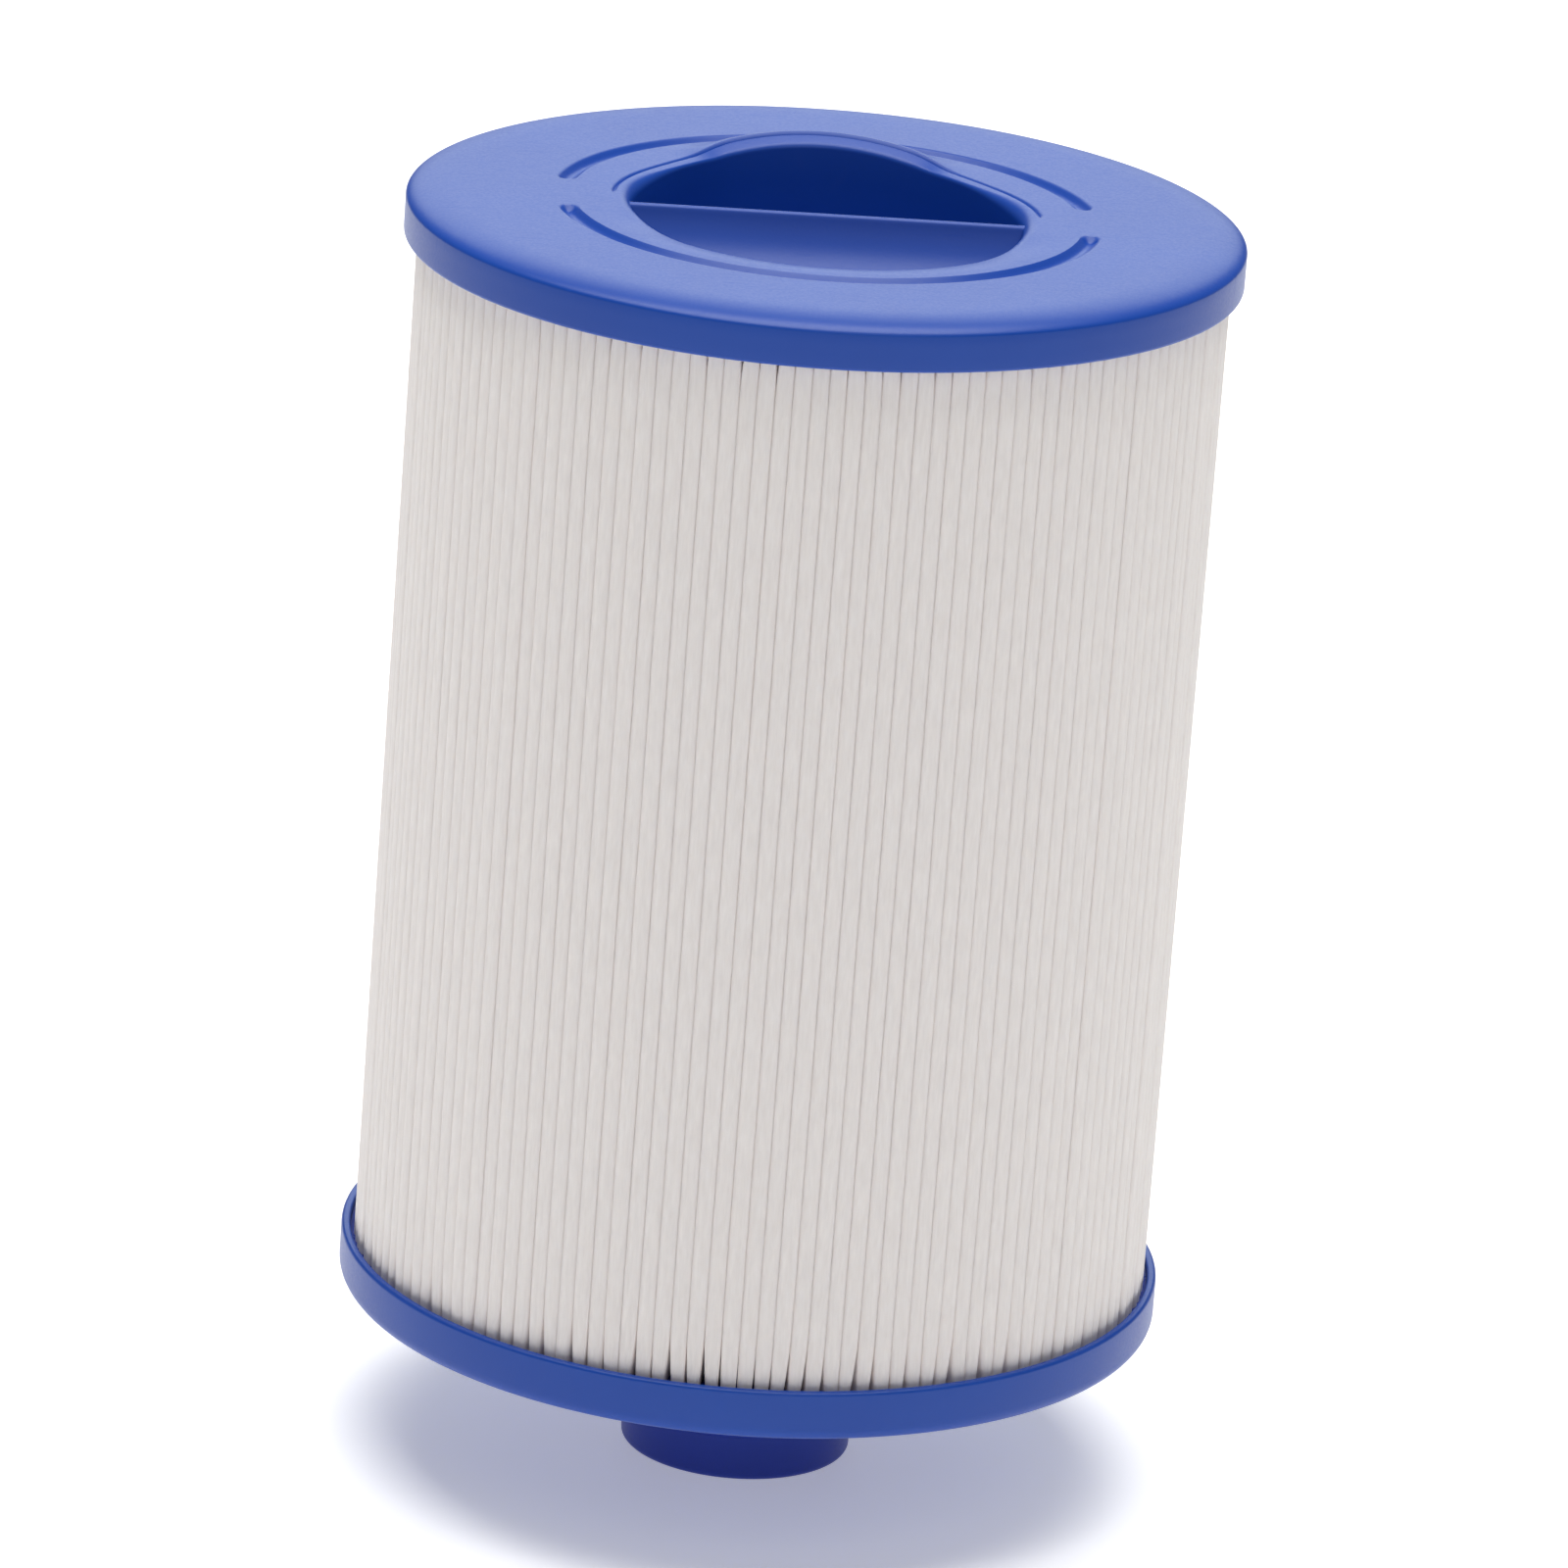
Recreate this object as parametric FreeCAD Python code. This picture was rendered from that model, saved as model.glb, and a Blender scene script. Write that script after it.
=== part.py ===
import FreeCAD, Part
import math
import os

# Screw-in filter cartridge for a spa skimmer: a pleated sheet round a perforated core, bonded into two
# moulded end caps, with a grip pocket on top and a threaded outlet nozzle underneath.
# Millimetres, +Z up, origin at the centre of the nozzle's end face.

# ---------------------------------------------------------------- driving dimensions
CAP_R = 76.2                 # both end caps: 6 in across
CAP_TO_CAP = 209.6           # 8 1/4 in over the caps
NOZZLE_DROP = 30.0           # nozzle reaches this far below the bottom cap
PLATE = 2.2                  # thickness of the caps' flat plates
SKIRT_WALL = 1.7             # thickness of the caps' upright walls
TOP_SKIRT = 8.8              # height of the top cap's skirt, deck included
BOTTOM_SKIRT = 9.7           # height of the bottom cap's wall, floor included
RIM_ROUND = 3.0              # rounding where a plate turns into its wall
LIP_ROUND = 0.7              # rounding on the free edge of a wall

POCKET_R = 35.6              # finger pocket at its mouth
POCKET_DEPTH = 24.0          # deep half behind the blade
FRONT_DEPTH = 13.0           # shallow half in front of it
POCKET_DRAFT = math.radians(4.0)
POCKET_WALL = 2.0
POCKET_RIM = 2.6             # rounding of the pocket's mouth
POCKET_FOOT = 3.0            # rounding between the deep half's wall and floor
FRONT_FOOT = 7.0             # rounding between the shallow half's wall and floor

BLADE_TOP = 2.6              # thickness of the grip blade along its top edge
BLADE_SINK = 1.2             # blade's top edge lies this far below the deck
BLADE_DRAFT = math.radians(8.0)
BLADE_ROUND = 0.8
BLADE_COVE = 8.0             # hollow rounding between the blade and the shallow floor
BLADE_SOLID = 7.0            # blade is solid down to here, cored out below
BLADE_CORE_END = 5.5         # cored part stops this far inside the pocket's mouth

HOOD_RISE = 3.9              # raised lip behind the pocket, height above the deck
HOOD_TILT = math.radians(20.0)
HOOD_BEAD = 2.2              # radius of the lip's round edge
HOOD_FOOT_R = 46.6           # where the lip's back slope meets the deck
HOOD_START = 8.0             # lip is cut off this far behind the blade, where it is below the deck
HOOD_SHOULDER = 1.6          # flat behind the bead before the back slope
HOOD_LEVEL = 0.72            # height of that flat on the bead, as a share of the bead's radius

GROOVE_R = 48.2              # broken ring groove round the pocket
GROOVE_HALF = 1.4
GROOVE_DEPTH = 1.2
GROOVE_GAP = math.radians(13.0)    # bridge left on each side of each blade end
CREASE_R = 38.9              # fine line beside the pocket's rear corners
CREASE_HALF = 0.45
CREASE_START = math.radians(-6.0)
CREASE_END = math.radians(46.0)

MEDIA_R = 73.9               # pleat crests
MEDIA_BORE = 40.6            # pleat roots
PLEATS = 148
SHEET = 0.45                 # thickness of the filter sheet
CREST_WIDTH = 2.0
CREST_ROUND = 0.9
ROOT_GAP = 0.62              # open width between two pleats at their root
ROOT_ROUND = 0.3
FOLD_SHOULDER = 0.75         # width of a fold just below its tip, as a share of its full width
FOLD_TIP = 0.3               # drop of the fold there, as a share of its rounding

POTTING_PLATE = 3.0          # adhesive under the pleat ends
POTTING_GRIP = 3.0           # length of pleat held in adhesive
POTTING_GAP = 0.05           # cast surface kept clear of the round walls

CORE_BORE = 38.0
CORE_WALL = 2.0
CORE_HOLE = 3.5
CORE_HOLES_ROUND = 18
CORE_ROW_PITCH = 11.0
CORE_ROWS = 15
CORE_FIRST_ROW = 47.0

NOZZLE_BORE = 18.6
PILOT_R = 21.4               # plain lead-in below the thread
PILOT_LENGTH = 8.5
PILOT_ROUND = 1.2
THREAD_PITCH = 25.4 / 11.5   # 1 1/2 in taper pipe thread, 11.5 turns to the inch
THREAD_ROOT_R = 21.93        # root of the thread at its small end
THREAD_HEIGHT = 1.77
THREAD_TAPER = math.atan(1.0 / 32.0)    # 1 in 16 on diameter
COLLAR_R = 24.6              # plain collar where the nozzle leaves the cap
COLLAR_DROP = 1.6
FLANGE_R = 28.0              # weld flange on the inside of the cap
FLANGE_THICK = 2.5
SEAM_DEPTH = 9.0             # radial depth of the side-seam bead
THREAD_HALF = 0.46           # half width of the ridge at its foot, as a share of the pitch
THREAD_FLAT = 0.07           # half width of the ridge at its crest, as a share of the pitch
THREAD_SINK = 0.25           # ridge is sunk this far into the root
THREAD_LEAD = 0.6            # slope of the thread's first turn
CAP_HOLE_GAP = 0.2           # clearance of the nozzle's collar in the bottom cap

# ---------------------------------------------------------------- heights worked out from them
CAP_BASE = NOZZLE_DROP
DECK = CAP_BASE + CAP_TO_CAP
CAP_FLOOR = CAP_BASE + PLATE
DECK_UNDER = DECK - PLATE
MEDIA_LOW = CAP_FLOOR + POTTING_PLATE
MEDIA_HIGH = DECK_UNDER - POTTING_PLATE
WALL_IN_R = CAP_R - SKIRT_WALL
MARGIN = 1.0                 # extra length of a cutting tool past the face it cuts
AXIS = FreeCAD.Vector(0, 0, 1)
ORIGIN = FreeCAD.Vector(0, 0, 0)


def point(radius, height):
    """Point of a half section: radius along X, height along Z."""
    return FreeCAD.Vector(radius, 0, height)


def line(start, end):
    """Straight edge between two (radius, height) pairs."""
    return Part.LineSegment(point(*start), point(*end)).toShape()


def arc(start, centre, end):
    """Arc of a quarter turn or less between two (radius, height) pairs round a centre."""
    radius = math.dist(start, centre)
    middle_x = (start[0] + end[0]) / 2.0 - centre[0]
    middle_z = (start[1] + end[1]) / 2.0 - centre[1]
    reach = math.hypot(middle_x, middle_z)
    through = (centre[0] + middle_x / reach * radius, centre[1] + middle_z / reach * radius)
    return Part.Arc(point(*start), point(*through), point(*end)).toShape()


def section(edges):
    """Face bounded by a closed chain of edges in the XZ plane, revolved about Z."""
    return Part.Face(Part.Wire(edges)).revolve(ORIGIN, AXIS, 360.0)


def ring(inner, outer, low, high):
    """Plain round ring."""
    body = Part.makeCylinder(outer, high - low, FreeCAD.Vector(0, 0, low))
    return body.cut(Part.makeCylinder(inner, high - low + 2.0 * MARGIN, FreeCAD.Vector(0, 0, low - MARGIN)))


def between(outer_wire, inner_wire):
    """Flat face with one hole."""
    return Part.makeFace([outer_wire, inner_wire], "Part::FaceMakerBullseye")


def save(shape, node):
    """Check one sub-part and write it as its own STEP file."""
    if len(shape.Solids) != 1 or not shape.isValid():
        raise ValueError(node + " is not one valid solid")
    print(node, "volume_cm3", round(shape.Volume / 1000.0, 2))
    shape.exportStep("parts/" + node + ".step")


# ---------------------------------------------------------------- top cap
def cap_shell(depth, foot):
    """Deck, rim, skirt and a drafted pocket cup of one depth as one revolved wall."""
    skirt_low = DECK - TOP_SKIRT
    floor_z = DECK - depth
    drop = depth - POCKET_RIM
    floor_r = POCKET_R - drop * math.tan(POCKET_DRAFT)
    cup_r = POCKET_R + POCKET_WALL
    cup_floor_r = floor_r + POCKET_WALL
    under_z = floor_z - POCKET_WALL
    rim_r = POCKET_R + POCKET_RIM
    edges = [
        line((0, floor_z), (floor_r - foot, floor_z)),
        arc((floor_r - foot, floor_z), (floor_r - foot, floor_z + foot),
            (floor_r, floor_z + foot)),
        line((floor_r, floor_z + foot), (POCKET_R, DECK - POCKET_RIM)),
        arc((POCKET_R, DECK - POCKET_RIM), (rim_r, DECK - POCKET_RIM), (rim_r, DECK)),
        line((rim_r, DECK), (CAP_R - RIM_ROUND, DECK)),
        arc((CAP_R - RIM_ROUND, DECK), (CAP_R - RIM_ROUND, DECK - RIM_ROUND), (CAP_R, DECK - RIM_ROUND)),
        line((CAP_R, DECK - RIM_ROUND), (CAP_R, skirt_low + LIP_ROUND)),
        arc((CAP_R, skirt_low + LIP_ROUND), (CAP_R - LIP_ROUND, skirt_low + LIP_ROUND),
            (CAP_R - LIP_ROUND, skirt_low)),
        line((CAP_R - LIP_ROUND, skirt_low), (WALL_IN_R, skirt_low)),
        line((WALL_IN_R, skirt_low), (WALL_IN_R, DECK_UNDER)),
        line((WALL_IN_R, DECK_UNDER), (cup_r, DECK_UNDER)),
        line((cup_r, DECK_UNDER), (cup_floor_r, under_z + foot)),
        arc((cup_floor_r, under_z + foot), (cup_floor_r - foot, under_z + foot),
            (cup_floor_r - foot, under_z)),
        line((cup_floor_r - foot, under_z), (0, under_z)),
        line((0, under_z), (0, floor_z)),
    ]
    return section(edges)


def two_depths():
    """Deep half of the cap behind the blade joined to the shallow half in front of it."""
    size = FreeCAD.Vector(-2.0 * CAP_R, 0, 0)
    rear = Part.makeBox(4.0 * CAP_R, 2.0 * CAP_R, 2.0 * DECK, size)
    front = Part.makeBox(4.0 * CAP_R, 2.0 * CAP_R, 2.0 * DECK, size - FreeCAD.Vector(0, 2.0 * CAP_R, 0))
    deep = cap_shell(POCKET_DEPTH, POCKET_FOOT).common(rear)
    return deep.fuse(cap_shell(FRONT_DEPTH, FRONT_FOOT).common(front))


def wedge(top_half, top_z, foot_z, draft, half_length):
    """Upright blade along X, thicker towards its foot."""
    foot_half = top_half + (top_z - foot_z) * math.tan(draft)
    corners = [(-foot_half, foot_z), (foot_half, foot_z), (top_half, top_z), (-top_half, top_z)]
    corners = [FreeCAD.Vector(-half_length, y, z) for y, z in corners]
    face = Part.Face(Part.makePolygon(corners + corners[:1]))
    return face.extrude(FreeCAD.Vector(2.0 * half_length, 0, 0))


def blade_cove():
    """Hollow rounding along the foot of the blade's front face, over the shallow floor."""
    floor_z = DECK - FRONT_DEPTH
    centre_z = floor_z + BLADE_COVE
    face_y = BLADE_TOP / 2.0 + (DECK - BLADE_SINK - centre_z) * math.tan(BLADE_DRAFT)
    centre = FreeCAD.Vector(0, -face_y - BLADE_COVE / math.cos(BLADE_DRAFT), centre_z)
    middle = (math.pi / 2.0 + BLADE_DRAFT) / 2.0
    touch, through, foot = [centre + FreeCAD.Vector(0, math.cos(turn), -math.sin(turn)) * BLADE_COVE
                            for turn in (BLADE_DRAFT, middle, math.pi / 2.0)]
    below = FreeCAD.Vector(0, foot.y, floor_z - MARGIN)
    inside = FreeCAD.Vector(0, 0, floor_z - MARGIN)
    above = FreeCAD.Vector(0, 0, touch.z)
    straight = Part.makePolygon([foot, below, inside, above, touch])
    face = Part.Face(Part.Wire([Part.Arc(touch, through, foot).toShape()] + straight.Edges))
    face.translate(FreeCAD.Vector(-CAP_R, 0, 0))
    return face.extrude(FreeCAD.Vector(2.0 * CAP_R, 0, 0))


def grip_blade():
    """Blade across the pocket with its cove, both cut off inside the cup's wall."""
    floor_z = DECK - POCKET_DEPTH
    blade = wedge(BLADE_TOP / 2.0, DECK - BLADE_SINK, floor_z - POCKET_WALL, BLADE_DRAFT, CAP_R)
    top_edges = []
    for edge in blade.Edges:
        at_top = all(abs(v.Z - (DECK - BLADE_SINK)) < 0.01 for v in edge.Vertexes)
        if at_top and edge.Length > CAP_R:
            top_edges.append(edge)
    blade = blade.makeFillet(BLADE_ROUND, top_edges).fuse(blade_cove())
    reach = POCKET_R + POCKET_WALL / 2.0
    cup_low = reach - POCKET_DEPTH * math.tan(POCKET_DRAFT)
    cup = Part.makeCone(cup_low, reach, POCKET_DEPTH + POCKET_WALL, FreeCAD.Vector(0, 0, floor_z - POCKET_WALL))
    return blade.common(cup)


def blade_core():
    """Hollow left inside the blade by the mould, open underneath."""
    floor_z = DECK - POCKET_DEPTH
    top_z = DECK - BLADE_SINK - BLADE_SOLID
    low_z = floor_z - POCKET_WALL - MARGIN
    half = BLADE_TOP / 2.0 + (DECK - BLADE_SINK - top_z) * math.tan(BLADE_DRAFT) - POCKET_WALL
    return wedge(half, top_z, low_z, BLADE_DRAFT, POCKET_R - BLADE_CORE_END)


def raised_lip():
    """Lip behind the pocket: a round bead in a tilted plane on a sloping foot."""
    bead_r = POCKET_R + HOOD_BEAD
    crest_z = DECK + HOOD_RISE - HOOD_BEAD
    slope = math.tan(HOOD_TILT)
    centre = FreeCAD.Vector(0, 0, crest_z - bead_r * slope)
    normal = FreeCAD.Vector(0, -math.sin(HOOD_TILT), math.cos(HOOD_TILT))
    long_axis = FreeCAD.Vector(0, math.cos(HOOD_TILT), math.sin(HOOD_TILT))
    back = centre + long_axis * (bead_r / math.cos(HOOD_TILT))
    side = centre + FreeCAD.Vector(bead_r, 0, 0)
    path = Part.Wire(Part.Ellipse(back, side, centre).toShape())
    ring_section = Part.Wire(Part.makeCircle(HOOD_BEAD, back, FreeCAD.Vector(1, 0, 0)))
    bead = Part.makeSolid(path.makePipeShell([ring_section], True, True))
    keep = Part.makeBox(2 * CAP_R, CAP_R, 3 * HOOD_RISE, FreeCAD.Vector(-CAP_R, HOOD_START, DECK - PLATE))
    bead = bead.common(keep)
    sink = PLATE / 4.0
    foot = Part.makeCone(HOOD_FOOT_R + MARGIN, bead_r + HOOD_SHOULDER, HOOD_RISE, FreeCAD.Vector(0, 0, DECK - sink))
    foot = foot.fuse(Part.makeCylinder(bead_r, PLATE, FreeCAD.Vector(0, 0, DECK - PLATE)))
    hollow = Part.makeCylinder(POCKET_R, 4 * HOOD_RISE, FreeCAD.Vector(0, 0, DECK - 2 * HOOD_RISE))
    foot = foot.cut(hollow)
    cut_base = centre + normal * (HOOD_BEAD * HOOD_LEVEL)
    below = Part.makeBox(4 * CAP_R, 4 * CAP_R, 2 * CAP_R, FreeCAD.Vector(-2 * CAP_R, -2 * CAP_R, -2 * CAP_R))
    below.rotate(ORIGIN, FreeCAD.Vector(1, 0, 0), math.degrees(HOOD_TILT))
    below.translate(cut_base)
    foot = foot.common(below).common(keep)
    return bead.fuse(foot)


def ring_notch(radius, half, depth, start, end):
    """Rounded notch cut into the deck along part of a ring, with round ends."""
    span = math.degrees(end - start)
    round_r = (half * half + depth * depth) / (2.0 * depth)
    centre = FreeCAD.Vector(radius, 0, DECK + round_r - depth)
    face = Part.Face(Part.Wire(Part.makeCircle(round_r, centre, FreeCAD.Vector(0, 1, 0))))
    notch = face.revolve(ORIGIN, AXIS, span)
    notch.rotate(ORIGIN, AXIS, math.degrees(start))
    for angle in (start, end):
        ball = Part.makeSphere(round_r, FreeCAD.Vector(radius * math.cos(angle), radius * math.sin(angle), centre.z))
        notch = notch.fuse(ball)
    return notch


def make_top_cap():
    """Whole top cap moulding."""
    cap = two_depths().fuse(grip_blade()).fuse(raised_lip())
    cap = cap.cut(blade_core())
    front = ring_notch(GROOVE_R, GROOVE_HALF, GROOVE_DEPTH, math.pi + GROOVE_GAP, 2.0 * math.pi - GROOVE_GAP)
    rear = ring_notch(GROOVE_R, GROOVE_HALF, GROOVE_DEPTH, GROOVE_GAP, math.pi - GROOVE_GAP)
    cap = cap.cut(front).cut(rear)
    right = ring_notch(CREASE_R, CREASE_HALF, CREASE_HALF, CREASE_START, CREASE_END)
    left = ring_notch(CREASE_R, CREASE_HALF, CREASE_HALF, math.pi - CREASE_END, math.pi - CREASE_START)
    return cap.cut(right).cut(left)


# ---------------------------------------------------------------- pleated sheet
def fold_points(radial, half_width, rounding, inward, angle):
    """Five points round one fold, listed anticlockwise."""
    sign = -1.0 if inward else 1.0
    tip = -FOLD_TIP * rounding
    local = [(-rounding, -1.0), (tip, -FOLD_SHOULDER), (0.0, 0.0), (tip, FOLD_SHOULDER), (-rounding, 1.0)]
    found = []
    for along, across in local:
        radius = radial + sign * along
        side = half_width * across
        x = radius * math.cos(angle) - side * math.sin(angle)
        y = radius * math.sin(angle) + side * math.cos(angle)
        found.append(FreeCAD.Vector(x, y, MEDIA_LOW))
    return found


def pleat_wire(offset):
    """Closed zigzag of one face of the sheet; offset 0 is outside, the sheet's thickness is inside."""
    step = 2.0 * math.pi / PLEATS
    start = math.pi / 2.0
    points = []
    for i in range(PLEATS):
        crest = start + i * step
        points += fold_points(MEDIA_R - offset, CREST_WIDTH / 2.0 - offset, CREST_ROUND, False, crest)
        root = crest + step / 2.0
        points += fold_points(MEDIA_BORE + SHEET - offset, ROOT_GAP / 2.0 + offset, ROOT_ROUND, True, root)
    return Part.makePolygon(points + points[:1])


def seam_corners():
    """Corners of the seam bead between the legs of the rear pleat: inner pair, then outer pair."""
    outer_half = CREST_WIDTH / 2.0 - SHEET
    outer_r = MEDIA_R - SHEET - CREST_ROUND
    step = math.pi / PLEATS
    root_half = ROOT_GAP / 2.0 + SHEET
    root_r = MEDIA_BORE + ROOT_ROUND
    root_x = root_r * math.sin(step) - root_half * math.cos(step)
    root_y = root_r * math.cos(step) + root_half * math.sin(step)
    share = SEAM_DEPTH / (outer_r - root_y)
    inner_half = outer_half + (root_x - outer_half) * share
    return inner_half, outer_r - SEAM_DEPTH, outer_half, outer_r


def make_media():
    """Accordion ring, opened along one rear crest where the sheet's ends meet."""
    face = between(pleat_wire(0.0), pleat_wire(SHEET))
    media = face.extrude(FreeCAD.Vector(0, 0, MEDIA_HIGH - MEDIA_LOW))
    outer_half, outer_y = seam_corners()[2:]
    slot = Part.makeBox(2.0 * outer_half, MEDIA_R - outer_y + MARGIN, MEDIA_HIGH - MEDIA_LOW + 2.0 * MARGIN,
                        FreeCAD.Vector(-outer_half, outer_y, MEDIA_LOW - MARGIN))
    return media.cut(slot)


def make_seam():
    """Adhesive bead between the sheet's two free ends."""
    inner_half, inner_y, outer_half, outer_y = seam_corners()
    corners = [(-inner_half, inner_y), (inner_half, inner_y), (outer_half, outer_y), (-outer_half, outer_y)]
    corners = [FreeCAD.Vector(x, y, MEDIA_LOW) for x, y in corners]
    face = Part.Face(Part.makePolygon(corners + corners[:1]))
    return face.extrude(FreeCAD.Vector(0, 0, MEDIA_HIGH - MEDIA_LOW))


# ---------------------------------------------------------------- adhesive, core, bottom cap
def make_potting(seam):
    """Adhesive cast in the bottom cap: a plate under the pleat ends and a grip that fills the folds."""
    inner = CORE_BORE + CORE_WALL + POTTING_GAP
    outer = WALL_IN_R - POTTING_GAP
    level = FreeCAD.Vector(0, 0, MEDIA_LOW)
    between_pleats = between(Part.Wire(Part.makeCircle(outer, level)), pleat_wire(0.0))
    inside_pleats = between(pleat_wire(SHEET), Part.Wire(Part.makeCircle(inner, level)))
    body = ring(inner, outer, CAP_FLOOR, MEDIA_LOW)
    for fill in (between_pleats, inside_pleats):
        body = body.fuse(fill.extrude(FreeCAD.Vector(0, 0, POTTING_GRIP)))
    return body.cut(seam)


def turned_over(potting):
    """The same casting at the other end of the pleats, seam side kept to the rear."""
    other = potting.copy()
    other.rotate(FreeCAD.Vector(0, 0, (MEDIA_LOW + MEDIA_HIGH) / 2.0), FreeCAD.Vector(0, 1, 0), 180.0)
    return other


def make_core():
    """Perforated support tube with staggered rows of round holes."""
    outer = CORE_BORE + CORE_WALL
    tube = ring(CORE_BORE, outer, CAP_FLOOR, DECK_UNDER)
    drills = []
    for row in range(CORE_ROWS):
        height = CORE_FIRST_ROW + row * CORE_ROW_PITCH
        for i in range(CORE_HOLES_ROUND // 2):
            start = FreeCAD.Vector(-outer - MARGIN, 0, height)
            drill = Part.makeCylinder(CORE_HOLE, 2.0 * (outer + MARGIN), start, FreeCAD.Vector(1, 0, 0))
            turn = (i + (row % 2) / 2.0) * 360.0 / CORE_HOLES_ROUND
            drill.rotate(ORIGIN, AXIS, turn)
            drills.append(drill)
    return tube.cut(drills)


def make_bottom_cap():
    """Shallow cup with a rounded outer corner and a hole for the nozzle."""
    wall_top = CAP_BASE + BOTTOM_SKIRT
    hole = COLLAR_R + CAP_HOLE_GAP
    edges = [
        line((hole, CAP_BASE), (CAP_R - RIM_ROUND, CAP_BASE)),
        arc((CAP_R - RIM_ROUND, CAP_BASE), (CAP_R - RIM_ROUND, CAP_BASE + RIM_ROUND),
            (CAP_R, CAP_BASE + RIM_ROUND)),
        line((CAP_R, CAP_BASE + RIM_ROUND), (CAP_R, wall_top - LIP_ROUND)),
        arc((CAP_R, wall_top - LIP_ROUND), (CAP_R - LIP_ROUND, wall_top - LIP_ROUND),
            (CAP_R - LIP_ROUND, wall_top)),
        line((CAP_R - LIP_ROUND, wall_top), (WALL_IN_R, wall_top)),
        line((WALL_IN_R, wall_top), (WALL_IN_R, CAP_FLOOR)),
        line((WALL_IN_R, CAP_FLOOR), (hole, CAP_FLOOR)),
        line((hole, CAP_FLOOR), (hole, CAP_BASE)),
    ]
    return section(edges)


# ---------------------------------------------------------------- outlet nozzle
def thread_ridge(low, high):
    """Right-hand tapered ridge of 60 degree section, wound round the nozzle between two heights."""
    turns_low = low - THREAD_PITCH
    height = high - low + 2.0 * THREAD_PITCH
    start_r = THREAD_ROOT_R - THREAD_PITCH * math.tan(THREAD_TAPER) - THREAD_SINK
    helix = Part.makeLongHelix(THREAD_PITCH, height, start_r, math.degrees(THREAD_TAPER))
    helix.translate(FreeCAD.Vector(0, 0, turns_low))
    half = THREAD_PITCH * THREAD_HALF
    crest = THREAD_PITCH * THREAD_FLAT
    tip = THREAD_HEIGHT + THREAD_SINK
    corners = [(0, -half), (tip, -crest), (tip, crest), (0, half)]
    corners = [FreeCAD.Vector(start_r + x, 0, turns_low + z) for x, z in corners]
    profile = Part.makePolygon(corners + corners[:1])
    ridge = Part.Wire(helix).makePipeShell([profile], True, True)
    return Part.makeSolid(ridge)


def make_nozzle():
    """Flange, collar, tapered thread and plain pilot round one straight bore."""
    thread_low = PILOT_LENGTH
    thread_high = CAP_BASE - COLLAR_DROP
    root_high = THREAD_ROOT_R + (thread_high - thread_low) * math.tan(THREAD_TAPER)
    flange_top = CAP_FLOOR + FLANGE_THICK
    edges = [
        line((NOZZLE_BORE, 0), (PILOT_R - PILOT_ROUND, 0)),
        arc((PILOT_R - PILOT_ROUND, 0), (PILOT_R - PILOT_ROUND, PILOT_ROUND), (PILOT_R, PILOT_ROUND)),
        line((PILOT_R, PILOT_ROUND), (PILOT_R, thread_low)),
        line((PILOT_R, thread_low), (THREAD_ROOT_R, thread_low)),
        line((THREAD_ROOT_R, thread_low), (root_high, thread_high)),
        line((root_high, thread_high), (COLLAR_R, thread_high)),
        line((COLLAR_R, thread_high), (COLLAR_R, CAP_FLOOR)),
        line((COLLAR_R, CAP_FLOOR), (FLANGE_R, CAP_FLOOR)),
        line((FLANGE_R, CAP_FLOOR), (FLANGE_R, flange_top)),
        line((FLANGE_R, flange_top), (NOZZLE_BORE, flange_top)),
        line((NOZZLE_BORE, flange_top), (NOZZLE_BORE, 0)),
    ]
    body = section(edges)
    room = ring(THREAD_ROOT_R - 2.0 * THREAD_SINK, CAP_R, thread_low, thread_high + THREAD_SINK)
    lead_in = Part.makeCone(PILOT_R, CAP_R, (CAP_R - PILOT_R) * THREAD_LEAD, FreeCAD.Vector(0, 0, thread_low))
    ridge = thread_ridge(thread_low, thread_high).common(room).common(lead_in)
    return body.fuse(ridge)


# ---------------------------------------------------------------- build
os.makedirs("parts", exist_ok=True)
save(make_top_cap(), "top_cap")
save(make_bottom_cap(), "bottom_cap")
save(make_core(), "core_tube")
save(make_nozzle(), "threaded_nozzle")
seam_bead = make_seam()
save(seam_bead, "media_seam")
save(make_media(), "pleated_media")
lower_potting = make_potting(seam_bead)
save(lower_potting, "bottom_potting")
save(turned_over(lower_potting), "top_potting")
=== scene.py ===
import bmesh
import bpy
import math
from mathutils import Matrix, Vector


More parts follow.
